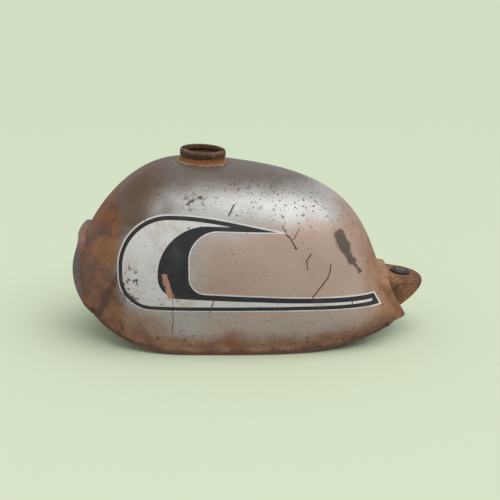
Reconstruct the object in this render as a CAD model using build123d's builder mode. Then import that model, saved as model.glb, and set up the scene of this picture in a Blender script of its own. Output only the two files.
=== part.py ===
"""Pressed-steel fuel tank of a small trail motorcycle, in millimetres.

+X runs to the rear of the motorcycle, -Y is its left side and +Z is up.  The tank stands on the
seam round its bottom at z = 0, and the origin lies midway between its front and its rear end.
"""

import os
from math import cos, radians, sin, sqrt, tan

from build123d import *

# ---------------------------------------------------------------- driving dimensions
# pressed sheet
SHEET = 1.0
SEAM_LIP = 7.0  # width of the welded seam round the bottom and round the tunnel mouths
SEAM_GAP = 0.2  # between two pieces that are welded together
FLOOR_RISE = 6.0  # floor of the inner pressing above the top of the seam
SECTION_STEP = 7.5  # degrees between the sections of the lofts round the neck
MOUTH_ANGLE = 30  # reach of the tunnel mouths to each side, round the neck
FAR = 600.0  # beyond everything

# outline of the body, measured from the axis of the filler neck
NECK_X = -51.2
NECK_Z = 191.0
NECK_LEAN = 4.0  # degrees towards the rear
FRONT_REACH = 136.8
REAR_REACH = 215.7
HALF_WIDTH = 88.0
FRONT_SQUARENESS = 2.45
REAR_SQUARENESS = 2.6

# shape of the side, each at the front, the flank and the rear
BELT_Z = (79.0, 84.0, 30.0)  # height of the widest line
CROWN = (0.50, 0.60, 0.94)  # fullness of the top
CHEEK = (0.35, 0.55, 0.32)  # fullness between the top and the widest line
RAKE = (0.0, 0.0, 47.0)  # how far the skin leans in above the widest line
TUCK = (8.0, 13.0, 4.0)  # how far the seam lies inside the widest line
TUCK_FULLNESS = 0.55

# line of the bottom in side view: flat, with an arc up to each end
SOLE_FRONT_X = NECK_X - 14.8
SOLE_REAR_X = NECK_X + 75.2
SOLE_FRONT_R = 180.0
SOLE_REAR_R = 440.0

# tunnel over the frame tube: its roof falls towards the rear
TUNNEL_HALF = 38.0
TUNNEL_CORNER = 12.0
TUNNEL_SLOPE = 8.0  # degrees
TUNNEL_REAR_X = NECK_X + REAR_REACH - 23.5
TUNNEL_REAR_Z = 71.5
TUNNEL_DEPTH = 150.0
TUNNEL_LENGTH = 400.0

# filler neck
NECK_SHEET = 1.2
NECK_PLUG_R = 23.0
NECK_PLUG_DEPTH = 5.0
NECK_HOLE_GAP = 0.25
NECK_SEAT = 0.05  # foot above the skin
NECK_FOOT_R = 26.5
NECK_FOOT = 1.2
NECK_TUBE_R = 23.4
NECK_RIM_R = 24.2
NECK_MOUTH_R = 19.0
NECK_HEIGHT = 13.5
NECK_RIM_BAND = 6.5
NECK_ROUNDING = 2.2
NECK_LIP_DEPTH = 4.0
CAM_NOTCH_WIDTH = 10.0
CAM_NOTCH_REACH = 21.6

# rear bracket, lapped under the roof of the tunnel
BRACKET_LAP = 16.0
BRACKET_HALF = 27.0
BRACKET_HOLE_AT = 23.0  # centre of its hole behind the tunnel
BRACKET_HOLE_R = 7.5
BRACKET_TIP_R = 25.0
BRACKET_SHEET = 2.0
BRACKET_ROUNDING = 6.0
BRACKET_SKIRT = 32.0  # depth of its sides at the tunnel
BRACKET_TIP_SKIRT = 5.0  # and at the tip

# rubber grommet in the rear bracket, and the steel collar in it
FIT_GAP = 0.1
GROMMET_FLANGE_R = 10.5
GROMMET_FLANGE = 2.2
COLLAR_R = 4.4
COLLAR_BORE_R = 3.2
COLLAR_STAND = 0.5

# cups on the walls of the tunnel, open to the front
CUP_X = NECK_X - FRONT_REACH + 64.0
CUP_Z = 72.0
CUP_R = 13.0
CUP_SHEET = 2.0
CUP_LEG = 12.0
CUP_REACH = 12.0
CUP_PLATE = 38.0
CUP_PLATE_SHEET = 1.6
CUP_PLATE_CORNER = 6.0

# outlet for the fuel tap, in the floor of the left lobe
OUTLET_X = NECK_X + 63.2
OUTLET_Y = -TUNNEL_HALF - 19.0
OUTLET_R = 8.0
OUTLET_BORE_R = 5.0
OUTLET_FLANGE_R = 12.5
OUTLET_FLANGE = 1.6
OUTLET_DROP = 9.0
OUTLET_STAND = 2.0

# stripe on each side: a hook that opens to the rear, printed on film
FILM = 0.25
FILM_GAP = 0.05
STRIPE_FRONT_X = NECK_X - FRONT_REACH + 52.5
STRIPE_TOP_Z = NECK_Z - 38.0
STRIPE_BOTTOM_Z = 53.0
STRIPE_FRONT = 75.0  # width of its front limb
STRIPE_TOP = 17.0  # width of its upper limb
STRIPE_BOTTOM = 20.5  # width of its lower limb
STRIPE_TOP_CORNER = 56.0
STRIPE_BOTTOM_CORNER = 34.0
STRIPE_INNER_TOP_CORNER = 28.0
STRIPE_INNER_BOTTOM_CORNER = 16.0
STRIPE_SHOULDER_X = STRIPE_FRONT_X + 90.0  # where the upper limb starts to taper
STRIPE_TIP_X = STRIPE_FRONT_X + 178.0
STRIPE_TIP_DROP = 21.0  # tip below the top
STRIPE_KNEE_X = STRIPE_FRONT_X + 186.0  # where the lower limb starts to fall
STRIPE_TAIL_X = NECK_X + REAR_REACH - 26.5
STRIPE_TAIL_DROP = 3.0  # tail below the bottom
STRIPE_TAIL = 14.0  # width of the tail
STRIPE_TAIL_LEAN = 8.0

# ---------------------------------------------------------------- derived sizes and planes
HOLE_R = NECK_PLUG_R + NECK_HOLE_GAP
FLOOR_Z = SEAM_LIP + FLOOR_RISE  # upper face of the floor where the bottom is flat
WALL_Y = TUNNEL_HALF - SHEET  # inner face of the tunnel wall

# Side view of the filler neck: x square to its axis, y along it.
NECK_SIDE = Plane(
    origin=(NECK_X, 0, NECK_Z),
    x_dir=(cos(radians(NECK_LEAN)), 0, -sin(radians(NECK_LEAN))),
    z_dir=(0, -1, 0),
)
NECK_FACE = Plane(origin=NECK_SIDE.origin, x_dir=NECK_SIDE.x_dir, z_dir=NECK_SIDE.y_dir)

# Across the tunnel at its rear end: x to the left, y square to the roof, z forwards along the roof.
TUNNEL_PLANE = Plane(
    origin=(TUNNEL_REAR_X, 0, TUNNEL_REAR_Z),
    x_dir=(0, -1, 0),
    z_dir=(-cos(radians(TUNNEL_SLOPE)), 0, sin(radians(TUNNEL_SLOPE))),
)
# Upper face of the bracket, under the roof: x to the rear along it, y to the right.
BRACKET_FACE = Plane(
    origin=TUNNEL_PLANE.origin - TUNNEL_PLANE.y_dir * (SHEET + SEAM_GAP),
    x_dir=-TUNNEL_PLANE.z_dir,
    z_dir=TUNNEL_PLANE.y_dir,
)
BRACKET_SIDE = Plane(origin=BRACKET_FACE.origin, x_dir=BRACKET_FACE.x_dir, z_dir=(0, -1, 0))
GROMMET_SIDE = Plane(
    origin=BRACKET_FACE.origin + BRACKET_FACE.x_dir * BRACKET_HOLE_AT,
    x_dir=BRACKET_FACE.x_dir,
    z_dir=BRACKET_SIDE.z_dir,
)


def write(part, label):
    part.label = label
    export_step(part, os.path.join("parts", label + ".step"))


# ---------------------------------------------------------------- shape of the body
def end_of(angle, front, rear):
    """The front's value or the rear's, by the side that an angle round the neck looks to: 0 is
    the front, 90 the left flank and 180 the rear."""
    return front if cos(radians(angle)) > 0 else rear


def outline_radius(angle, inset):
    """Distance from the neck axis to an egg-shaped superellipse, the widest line or one that lies
    inside it by inset at the front, the flank and the rear."""
    reach = end_of(angle, FRONT_REACH - inset[0], REAR_REACH - inset[2])
    power = end_of(angle, FRONT_SQUARENESS, REAR_SQUARENESS)
    along = abs(cos(radians(angle))) / reach
    across = abs(sin(radians(angle))) / (HALF_WIDTH - inset[1])
    return (along**power + across**power) ** (-1 / power)


def mix(front_flank_rear, angle):
    """Value at an angle, between those at the front, the flank and the rear."""
    front, flank, rear = front_flank_rear
    along = cos(radians(angle)) / end_of(angle, FRONT_REACH, REAR_REACH)
    across = sin(radians(angle)) / HALF_WIDTH
    return flank + (end_of(angle, front, rear) - flank) * along**2 / (along**2 + across**2)


def belt_radius(angle):
    return outline_radius(angle, (0, 0, 0))


def seam_radius(angle):
    return outline_radius(angle, TUCK)


def sole_z(radius, angle):
    """Height of the bottom line at a distance from the neck axis."""
    x = NECK_X - radius * cos(radians(angle))
    if x < SOLE_FRONT_X:
        return SOLE_FRONT_R - sqrt(SOLE_FRONT_R**2 - (x - SOLE_FRONT_X) ** 2)
    if x > SOLE_REAR_X:
        return SOLE_REAR_R - sqrt(SOLE_REAR_R**2 - (x - SOLE_REAR_X) ** 2)
    return 0.0


def meridian_plane(angle):
    """Upright plane through the neck axis: its x runs outwards and its y runs up."""
    outwards = Vector(-cos(radians(angle)), -sin(radians(angle)), 0)
    return Plane(origin=(NECK_X, 0, 0), x_dir=outwards, z_dir=outwards.cross(Vector(0, 0, 1)))


def meridian(angle, out):
    """Control points of the side curve, a distance out from the outer face of the skin:
    one curve from the neck hole to the widest line, and one from there to the seam."""
    slope = cos(radians(angle)) * tan(radians(NECK_LEAN))
    hole = (HOLE_R, NECK_Z + HOLE_R * slope + out)
    belt = (belt_radius(angle) + out, mix(BELT_Z, angle))
    seam = (seam_radius(angle) + out, sole_z(seam_radius(angle), angle) + SEAM_LIP)
    run = mix(CROWN, angle) * (belt[0] - hole[0])
    rise = mix(CHEEK, angle) * (hole[1] - belt[1])
    drop = TUCK_FULLNESS * (belt[1] - seam[1])
    crown = (hole[0] + run, hole[1] + run * slope)
    cheek = (belt[0] - mix(RAKE, angle), belt[1] + rise)
    tuck = (belt[0] + mix(RAKE, angle) * drop / rise, belt[1] - drop)
    return [hole, crown, cheek, belt], [belt, tuck, seam]


def around(draw, first=0, last=180):
    """Loft round the neck axis through what draw(angle) draws, from the first angle to the last."""
    steps = round((last - first) / SECTION_STEP)
    with BuildPart() as ring:
        for step in range(steps + 1):
            angle = first + step * SECTION_STEP
            with BuildSketch(meridian_plane(angle)):
                with BuildLine():
                    draw(angle)
                make_face()
        loft()
    return ring.part


def draw_skin(angle):
    """Section of the outer pressing with its seam lip."""
    upper, lower = meridian(angle, 0)
    inner_upper, inner_lower = meridian(angle, -SHEET)
    seam, inner_seam = lower[-1], inner_lower[-1]
    Bezier(*upper)
    Bezier(*lower)
    Polyline(
        seam,
        (seam[0], seam[1] - SEAM_LIP),
        (inner_seam[0], inner_seam[1] - SEAM_LIP),
        inner_seam,
    )
    Bezier(*inner_lower)
    Bezier(*inner_upper)
    Line(inner_upper[0], upper[0])


def draw_edge(angle):
    """Section of the zone of the turned-out edges, from the middle of the skin outwards."""
    upper, lower = meridian(angle, SEAM_LIP)
    inner_upper, inner_lower = meridian(angle, -SHEET / 2)
    seam, inner_seam = lower[-1], inner_lower[-1]
    low = seam[1] - SEAM_LIP + SHEET / 2
    Bezier(*upper)
    Bezier(*lower)
    Polyline(seam, (seam_radius(angle) + SHEET, low), (inner_seam[0], low), inner_seam)
    Bezier(*inner_lower)
    Bezier(*inner_upper)
    Line(inner_upper[0], upper[0])


def draw_outside(angle):
    """Section of the space outside and below the turned-out edges."""
    upper, lower = meridian(angle, SEAM_LIP)
    seam = lower[-1]
    low = seam[1] - SEAM_LIP
    under = seam[0] - 3 * SEAM_LIP
    Bezier(*upper)
    Bezier(*lower)
    Polyline(
        seam,
        (seam_radius(angle) + SHEET, low),
        (under, low),
        (under, -FAR),
        (FAR, -FAR),
        (FAR, FAR),
        (HOLE_R, FAR),
        upper[0],
    )


def draw_film(angle):
    """Section of the film that the stripes are cut from, just off the skin."""
    upper, lower = meridian(angle, FILM_GAP + FILM)
    inner_upper, inner_lower = meridian(angle, FILM_GAP)
    Bezier(*upper)
    Bezier(*lower)
    Line(lower[-1], inner_lower[-1])
    Bezier(*inner_lower)
    Bezier(*inner_upper)
    Line(inner_upper[0], upper[0])


def draw_floor(angle):
    """Section of the inner pressing's floor with the wall that laps the seam lip."""
    wall = seam_radius(angle) - SHEET - SEAM_GAP
    low = sole_z(seam_radius(angle), angle)
    top = low + SEAM_LIP + FLOOR_RISE
    foot = sole_z(HOLE_R, angle) + SEAM_LIP + FLOOR_RISE
    Polyline(
        (wall, low),
        (wall, top),
        (HOLE_R, foot),
        (HOLE_R, foot - SHEET),
        (wall - SHEET, top - SHEET),
        (wall - SHEET, low),
        (wall, low),
    )


def draw_under_floor(angle):
    """Section of the space that the floor and its wall enclose, a little clear of both."""
    wall = seam_radius(angle) - SEAM_GAP - 2.5 * SHEET
    top = sole_z(seam_radius(angle), angle) + SEAM_LIP + FLOOR_RISE - 1.5 * SHEET
    foot = sole_z(HOLE_R, angle) + SEAM_LIP + FLOOR_RISE - 1.5 * SHEET
    Polyline((wall, -FAR), (wall, top), (HOLE_R, foot), (HOLE_R, -FAR), (wall, -FAR))


def tunnel_block(grow):
    """Solid that fills the tunnel, grown past the outer face of the inner pressing."""
    with BuildPart() as block:
        with BuildSketch(TUNNEL_PLANE):
            with Locations((0, grow)):
                Rectangle(2 * (TUNNEL_HALF + grow), TUNNEL_DEPTH, align=(Align.CENTER, Align.MAX))
            fillet(vertices().group_by(Axis.Y)[-1], TUNNEL_CORNER + grow)
        extrude(amount=TUNNEL_LENGTH, both=True)
    return block.part


def tunnel_arch():
    """Wall and roof of the tunnel, from mouth to mouth and down to the floor of the lobes."""
    clear = around(draw_under_floor)
    with BuildPart() as arch:
        add(tunnel_block(0))
        add(tunnel_block(-SHEET), mode=Mode.SUBTRACT)
        for first in (-MOUTH_ANGLE, 180 - MOUTH_ANGLE):
            add(around(draw_outside, first, first + 2 * MOUTH_ANGLE), mode=Mode.SUBTRACT)
        add(clear, mode=Mode.SUBTRACT)
        add(mirror(clear, about=Plane.XZ, mode=Mode.PRIVATE), mode=Mode.SUBTRACT)
    return arch.part


# ---------------------------------------------------------------- shells and inner pressing
with BuildPart() as mouth_edges:
    for first in (-MOUTH_ANGLE, 180 - MOUTH_ANGLE):
        add(around(draw_edge, first, first + 2 * MOUTH_ANGLE))
    add(tunnel_block(SEAM_GAP + SHEET), mode=Mode.INTERSECT)
    add(tunnel_block(SEAM_GAP), mode=Mode.SUBTRACT)
    split(bisect_by=Plane.XZ, keep=Keep.TOP)

with BuildPart() as shell_left:
    add(around(draw_skin))
    add(tunnel_block(SEAM_GAP), mode=Mode.SUBTRACT)
    add(mouth_edges.part)

with BuildPart() as shell_right:
    mirror(shell_left.part, about=Plane.XZ)

with BuildPart() as tunnel_pan:
    add(around(draw_floor))
    mirror(about=Plane.XZ)
    add(tunnel_block(-SHEET / 2), mode=Mode.SUBTRACT)
    add(tunnel_arch())
    with BuildSketch(Plane.XY.offset(FLOOR_Z + SHEET)):
        with Locations((OUTLET_X, OUTLET_Y)):
            Circle(OUTLET_R + FIT_GAP)
    extrude(amount=-3 * SHEET, mode=Mode.SUBTRACT)

# ---------------------------------------------------------------- filler neck
with BuildPart() as filler_neck:
    with BuildSketch(NECK_SIDE):
        foot_top = NECK_SEAT + NECK_FOOT
        under_rim = NECK_HEIGHT - NECK_SHEET
        with BuildLine():
            Polyline(
                (NECK_PLUG_R - NECK_SHEET, -NECK_PLUG_DEPTH),
                (NECK_PLUG_R, -NECK_PLUG_DEPTH),
                (NECK_PLUG_R, NECK_SEAT),
                (NECK_FOOT_R, NECK_SEAT),
                (NECK_FOOT_R, foot_top),
                (NECK_TUBE_R, foot_top),
                (NECK_TUBE_R, NECK_HEIGHT - NECK_RIM_BAND),
                (NECK_RIM_R, NECK_HEIGHT - NECK_RIM_BAND),
                (NECK_RIM_R, NECK_HEIGHT),
                (NECK_MOUTH_R, NECK_HEIGHT),
                (NECK_MOUTH_R, NECK_HEIGHT - NECK_LIP_DEPTH),
                (NECK_MOUTH_R + NECK_SHEET, NECK_HEIGHT - NECK_LIP_DEPTH),
                (NECK_MOUTH_R + NECK_SHEET, under_rim),
                (NECK_TUBE_R - NECK_SHEET, under_rim),
                (NECK_TUBE_R - NECK_SHEET, NECK_SEAT),
                (NECK_PLUG_R - NECK_SHEET, NECK_SEAT),
                close=True,
            )
        make_face()
        rim = vertices().group_by(Axis.Y)[-1].sort_by(Axis.X)
        fillet(rim[-1], NECK_ROUNDING)
        fillet(vertices().group_by(Axis.Y)[-1].sort_by(Axis.X)[0], NECK_SHEET / 2)
        fillet(vertices().sort_by(Axis.X)[-1], NECK_FOOT / 2)
    revolve(axis=Axis(NECK_FACE.origin, NECK_FACE.z_dir))
    with BuildSketch(NECK_FACE.offset(NECK_HEIGHT)):
        Rectangle(2 * CAM_NOTCH_REACH, CAM_NOTCH_WIDTH)
    extrude(amount=-NECK_LIP_DEPTH - FIT_GAP, mode=Mode.SUBTRACT)


# ---------------------------------------------------------------- rear mount
def bracket_block(inset, lap):
    """Solid in the shape of the bracket's outside, a sheet further in where inset is given."""
    with BuildPart() as block:
        with BuildSketch(BRACKET_FACE.offset(-inset)):
            with Locations((BRACKET_HOLE_AT, 0)):
                Circle(BRACKET_TIP_R - inset)
            Rectangle(lap, 2 * (BRACKET_HALF - inset), align=(Align.MAX, Align.CENTER))
            make_hull()
        extrude(amount=-BRACKET_SKIRT)
        top = faces().filter_by(BRACKET_FACE).sort_by(Axis.Z)[-1]
        fillet(top.edges().sort_by(Axis.X)[1:], BRACKET_ROUNDING - inset)
    return block.part


with BuildPart() as rear_bracket:
    add(bracket_block(0, BRACKET_LAP))
    add(bracket_block(BRACKET_SHEET, 2 * BRACKET_LAP), mode=Mode.SUBTRACT)
    with BuildSketch(BRACKET_SIDE):
        tip = BRACKET_HOLE_AT + BRACKET_TIP_R + BRACKET_SHEET
        run = BRACKET_SKIRT - BRACKET_TIP_SKIRT
        with BuildLine():
            Polyline(
                (tip, -BRACKET_TIP_SKIRT),
                (tip - run, -BRACKET_SKIRT),
                (tip, -BRACKET_SKIRT),
                close=True,
            )
        make_face()
    extrude(amount=BRACKET_HALF, both=True, mode=Mode.SUBTRACT)
    with BuildSketch(BRACKET_FACE):
        with Locations((BRACKET_HOLE_AT, 0)):
            Circle(BRACKET_HOLE_R)
    extrude(amount=-2 * BRACKET_SHEET, mode=Mode.SUBTRACT)

with BuildPart() as rear_grommet:
    with BuildSketch(GROMMET_SIDE):
        with BuildLine():
            above = FIT_GAP
            below = -BRACKET_SHEET - FIT_GAP
            Polyline(
                (COLLAR_R + FIT_GAP, below - GROMMET_FLANGE),
                (GROMMET_FLANGE_R, below - GROMMET_FLANGE),
                (GROMMET_FLANGE_R, below),
                (BRACKET_HOLE_R - FIT_GAP, below),
                (BRACKET_HOLE_R - FIT_GAP, above),
                (GROMMET_FLANGE_R, above),
                (GROMMET_FLANGE_R, above + GROMMET_FLANGE),
                (COLLAR_R + FIT_GAP, above + GROMMET_FLANGE),
                close=True,
            )
        make_face()
        rims = vertices().filter_by(lambda corner: abs(corner.X - GROMMET_FLANGE_R) < FIT_GAP)
        fillet([rims.sort_by(Axis.Y)[0], rims.sort_by(Axis.Y)[-1]], GROMMET_FLANGE / 2)
    revolve(axis=Axis(GROMMET_SIDE.origin, GROMMET_SIDE.y_dir))

with BuildPart() as rear_collar:
    with BuildSketch(GROMMET_SIDE):
        reach = GROMMET_FLANGE + FIT_GAP + COLLAR_STAND
        with Locations((COLLAR_BORE_R, reach)):
            Rectangle(
                COLLAR_R - COLLAR_BORE_R, BRACKET_SHEET + 2 * reach, align=(Align.MIN, Align.MAX)
            )
    revolve(axis=Axis(GROMMET_SIDE.origin, GROMMET_SIDE.y_dir))

# ---------------------------------------------------------------- cups for the front mount
with BuildPart() as front_cup_left:
    with BuildSketch(Plane.XZ.offset(WALL_Y - SEAM_GAP)):
        with Locations((CUP_X, CUP_Z)):
            RectangleRounded(CUP_PLATE, CUP_PLATE, CUP_PLATE_CORNER)
    extrude(amount=-CUP_PLATE_SHEET)
    with BuildSketch(Plane.XZ.offset(WALL_Y - SEAM_GAP - CUP_PLATE_SHEET)):
        with Locations((CUP_X, CUP_Z)):
            Circle(CUP_R + CUP_SHEET)
            Rectangle(CUP_LEG, 2 * (CUP_R + CUP_SHEET), align=(Align.MAX, Align.CENTER))
            Circle(CUP_R, mode=Mode.SUBTRACT)
            Rectangle(2 * CUP_LEG, 2 * CUP_R, align=(Align.MAX, Align.CENTER), mode=Mode.SUBTRACT)
    extrude(amount=-CUP_REACH)

with BuildPart() as front_cup_right:
    mirror(front_cup_left.part, about=Plane.XZ)

# ---------------------------------------------------------------- fuel outlet
with BuildPart() as outlet_spigot:
    under_floor_z = FLOOR_Z - SHEET - FIT_GAP
    with BuildSketch(Plane.XY.offset(under_floor_z)):
        with Locations((OUTLET_X, OUTLET_Y)):
            Circle(OUTLET_FLANGE_R)
    extrude(amount=-OUTLET_FLANGE)
    with BuildSketch(Plane.XY.offset(under_floor_z - OUTLET_DROP)):
        with Locations((OUTLET_X, OUTLET_Y)):
            Circle(OUTLET_R)
    extrude(amount=OUTLET_DROP + FIT_GAP + SHEET + OUTLET_STAND)
    with BuildSketch(Plane.XY):
        with Locations((OUTLET_X, OUTLET_Y)):
            Circle(OUTLET_BORE_R)
    extrude(amount=2 * FLOOR_Z, mode=Mode.SUBTRACT)

# ---------------------------------------------------------------- stripes
with BuildPart() as stripe_left:
    with BuildSketch(Plane.XZ.offset(TUNNEL_HALF / 2)):
        inner_x = STRIPE_FRONT_X + STRIPE_FRONT
        tail_z = STRIPE_BOTTOM_Z - STRIPE_TAIL_DROP
        with BuildLine():
            Polyline(
                (STRIPE_FRONT_X, STRIPE_TOP_Z),
                (STRIPE_SHOULDER_X, STRIPE_TOP_Z),
                (STRIPE_TIP_X, STRIPE_TOP_Z - STRIPE_TIP_DROP),
                (inner_x, STRIPE_TOP_Z - STRIPE_TOP),
                (inner_x, STRIPE_BOTTOM_Z + STRIPE_BOTTOM),
                (STRIPE_TAIL_X - STRIPE_TAIL_LEAN, tail_z + STRIPE_TAIL),
                (STRIPE_TAIL_X, tail_z),
                (STRIPE_KNEE_X, STRIPE_BOTTOM_Z),
                (STRIPE_FRONT_X, STRIPE_BOTTOM_Z),
                close=True,
            )
        make_face()
        front = vertices().group_by(Axis.X)[0].sort_by(Axis.Y)
        fillet(front[-1], STRIPE_TOP_CORNER)
        fillet(front[0], STRIPE_BOTTOM_CORNER)
        inside = vertices().filter_by_position(Axis.X, inner_x - FIT_GAP, inner_x + FIT_GAP)
        fillet(inside.sort_by(Axis.Y)[-1], STRIPE_INNER_TOP_CORNER)
        fillet(inside.sort_by(Axis.Y)[0], STRIPE_INNER_BOTTOM_CORNER)
    extrude(amount=HALF_WIDTH)
    add(around(draw_film), mode=Mode.INTERSECT)

with BuildPart() as stripe_right:
    mirror(stripe_left.part, about=Plane.XZ)

os.makedirs("parts", exist_ok=True)
write(shell_left.part, "shell_left")
write(shell_right.part, "shell_right")
write(tunnel_pan.part, "tunnel_pan")
write(filler_neck.part, "filler_neck")
write(rear_bracket.part, "rear_bracket")
write(rear_grommet.part, "rear_grommet")
write(rear_collar.part, "rear_collar")
write(front_cup_left.part, "front_cup_left")
write(front_cup_right.part, "front_cup_right")
write(outlet_spigot.part, "outlet_spigot")
write(stripe_left.part, "stripe_left")
write(stripe_right.part, "stripe_right")
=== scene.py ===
"""Looks of a small trail motorcycle's pressed-steel fuel tank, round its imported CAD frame.

Metres, in the frame's own axes: +X to the rear, -Y the left side, +Z up.
"""

from math import cos, exp, hypot, pi, radians, sin, sqrt, tan

import bmesh
import bpy
from mathutils import Matrix, Vector


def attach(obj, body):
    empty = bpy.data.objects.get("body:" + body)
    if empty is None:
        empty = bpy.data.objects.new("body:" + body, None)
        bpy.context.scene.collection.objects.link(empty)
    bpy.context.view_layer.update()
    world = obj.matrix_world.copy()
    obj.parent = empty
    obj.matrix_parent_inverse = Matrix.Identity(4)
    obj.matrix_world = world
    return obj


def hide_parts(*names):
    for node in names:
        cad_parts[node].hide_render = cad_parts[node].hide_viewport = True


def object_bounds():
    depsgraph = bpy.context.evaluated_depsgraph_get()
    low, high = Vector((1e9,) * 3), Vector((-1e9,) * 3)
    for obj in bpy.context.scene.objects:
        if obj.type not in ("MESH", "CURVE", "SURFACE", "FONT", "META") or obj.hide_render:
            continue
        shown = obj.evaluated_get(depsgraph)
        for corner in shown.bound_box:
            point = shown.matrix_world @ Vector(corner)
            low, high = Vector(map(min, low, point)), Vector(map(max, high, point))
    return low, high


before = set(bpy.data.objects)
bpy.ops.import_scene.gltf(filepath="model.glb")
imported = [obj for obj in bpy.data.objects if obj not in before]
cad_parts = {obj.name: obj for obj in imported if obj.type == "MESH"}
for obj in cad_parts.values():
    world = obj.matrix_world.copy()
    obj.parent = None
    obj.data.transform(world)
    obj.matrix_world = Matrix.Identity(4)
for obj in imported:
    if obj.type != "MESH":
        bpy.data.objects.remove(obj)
cad_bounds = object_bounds()

MM = 0.001

# ---------------------------------------------------------------- sizes of the pressings
SHEET = 1.0 * MM
SEAM_LIP = 7.0 * MM
SEAM_GAP = 0.2 * MM
HOLE_R = 23.25 * MM
NECK_X = -51.2 * MM
NECK_Z = 191.0 * MM
NECK_LEAN = radians(4)
FRONT_REACH = 136.8 * MM
REAR_REACH = 215.7 * MM
HALF_WIDTH = 88.0 * MM
FRONT_SQUARENESS = 2.45
REAR_SQUARENESS = 2.6
BELT_Z = (79.0 * MM, 84.0 * MM, 30.0 * MM)
CROWN = (0.50, 0.60, 0.94)
CHEEK = (0.35, 0.55, 0.32)
RAKE = (0.0, 0.0, 47.0 * MM)
TUCK = (8.0 * MM, 13.0 * MM, 4.0 * MM)
TUCK_FULLNESS = 0.55
SOLE_FRONT_X = NECK_X - 14.8 * MM
SOLE_REAR_X = NECK_X + 75.2 * MM
SOLE_FRONT_R = 180.0 * MM
SOLE_REAR_R = 440.0 * MM
TUNNEL_HALF = 38.0 * MM
TUNNEL_CORNER = 12.0 * MM
TUNNEL_SLOPE = radians(8)
TUNNEL_REAR = Vector((NECK_X + REAR_REACH - 23.5 * MM, 0, 71.5 * MM))
TUNNEL_DEPTH = 150.0 * MM
TUNNEL_LENGTH = 400.0 * MM
MOUTH_ANGLE = 30

# ---------------------------------------------------------------- stripe
FILM = 0.25 * MM
FILM_GAP = 0.05 * MM
STRIPE_FRONT_X = NECK_X - FRONT_REACH + 52.5 * MM
STRIPE_TOP_Z = NECK_Z - 38.0 * MM
STRIPE_BOTTOM_Z = 53.0 * MM
STRIPE_FRONT = 75.0 * MM
STRIPE_TOP = 17.0 * MM
STRIPE_BOTTOM = 20.5 * MM
STRIPE_TOP_CORNER = 56.0 * MM
STRIPE_BOTTOM_CORNER = 34.0 * MM
STRIPE_INNER_TOP_CORNER = 28.0 * MM
STRIPE_INNER_BOTTOM_CORNER = 16.0 * MM
STRIPE_SHOULDER_X = STRIPE_FRONT_X + 90.0 * MM
STRIPE_SHOULDER_EASE = 28.0 * MM  # how far in front of the shoulder its bend starts
STRIPE_TIP = Vector((STRIPE_FRONT_X + 178.0 * MM, STRIPE_TOP_Z - 21.0 * MM))
STRIPE_KNEE_X = STRIPE_FRONT_X + 186.0 * MM
STRIPE_TAIL_LOW = Vector((NECK_X + REAR_REACH - 26.5 * MM, STRIPE_BOTTOM_Z - 3.0 * MM))
STRIPE_TAIL_HIGH = STRIPE_TAIL_LOW + Vector((-8.0 * MM, 14.0 * MM))
INNER_X = STRIPE_FRONT_X + STRIPE_FRONT
INNER_TOP_Z = STRIPE_TOP_Z - STRIPE_TOP
INNER_BOTTOM_Z = STRIPE_BOTTOM_Z + STRIPE_BOTTOM
KEYLINE = 1.2 * MM
OUTLINE = 5.2 * MM  # outer edge of the white field
BAND_FRONT = 33.0 * MM  # black band in front of the stripe's inner edge
BAND_LIMB = 6.2 * MM  # and along its limbs
BAND_TOP_CORNER = 50.0 * MM
BAND_BOTTOM_CORNER = 22.0 * MM
FILM_ANGLES = (14, 170)  # the film is made between these angles round the neck, then cut to shape

# ---------------------------------------------------------------- weld round the neck
WELD_R = 26.6 * MM
WELD_RISE = 0.2 * MM
WELD_STEPS = 96
RIPPLE_PITCH = 1.1 * MM
RIPPLE_R = 0.85 * MM
RIPPLE_SIZES = (0.8, 1.15)

# ---------------------------------------------------------------- dents
# Each has its centre, its radius and its depth.
DENT_AIM = Vector((0, 0, 0.09))  # the skin moves towards here
DENT_FLATNESS = 3  # the upright part of the move is divided by this
DENT_SPREAD = 3  # a dent ends at this many radii
LEFT_DENTS = (
    ((-0.134, -0.075, 0.094), 0.012, 1.1 * MM),
    ((-0.146, -0.066, 0.068), 0.013, 1.2 * MM),
    ((-0.158, -0.050, 0.042), 0.012, 0.9 * MM),
    ((0.070, -0.078, 0.082), 0.016, 0.5 * MM),
    ((0.010, -0.086, 0.060), 0.020, 0.5 * MM),
)
RIGHT_DENTS = (
    ((-0.060, 0.086, 0.070), 0.018, 0.6 * MM),
    ((0.090, 0.070, 0.060), 0.015, 0.7 * MM),
)


# ---------------------------------------------------------------- shape of the body
def end_of(angle, front, rear):
    """The front's value or the rear's. Angles run round the neck from the front, 0, to the rear, 180."""
    return front if cos(radians(angle)) > 0 else rear


def outline_radius(angle, inset):
    """Distance from the neck's axis to the tank's outline, moved in at the front, flank and rear."""
    reach = end_of(angle, FRONT_REACH - inset[0], REAR_REACH - inset[2])
    power = end_of(angle, FRONT_SQUARENESS, REAR_SQUARENESS)
    along = abs(cos(radians(angle))) / reach
    across = abs(sin(radians(angle))) / (HALF_WIDTH - inset[1])
    return (along**power + across**power) ** (-1 / power)


def mix(front_flank_rear, angle):
    """Value at an angle, from those at the front, the flank and the rear."""
    front, flank, rear = front_flank_rear
    along = cos(radians(angle)) / end_of(angle, FRONT_REACH, REAR_REACH)
    across = sin(radians(angle)) / HALF_WIDTH
    return flank + (end_of(angle, front, rear) - flank) * along**2 / (along**2 + across**2)


def sole_at(x):
    """Height of the bottom line of the tank."""
    if x < SOLE_FRONT_X:
        return SOLE_FRONT_R - sqrt(max(SOLE_FRONT_R**2 - (x - SOLE_FRONT_X) ** 2, 0))
    if x > SOLE_REAR_X:
        return SOLE_REAR_R - sqrt(SOLE_REAR_R**2 - (x - SOLE_REAR_X) ** 2)
    return 0.0


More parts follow.
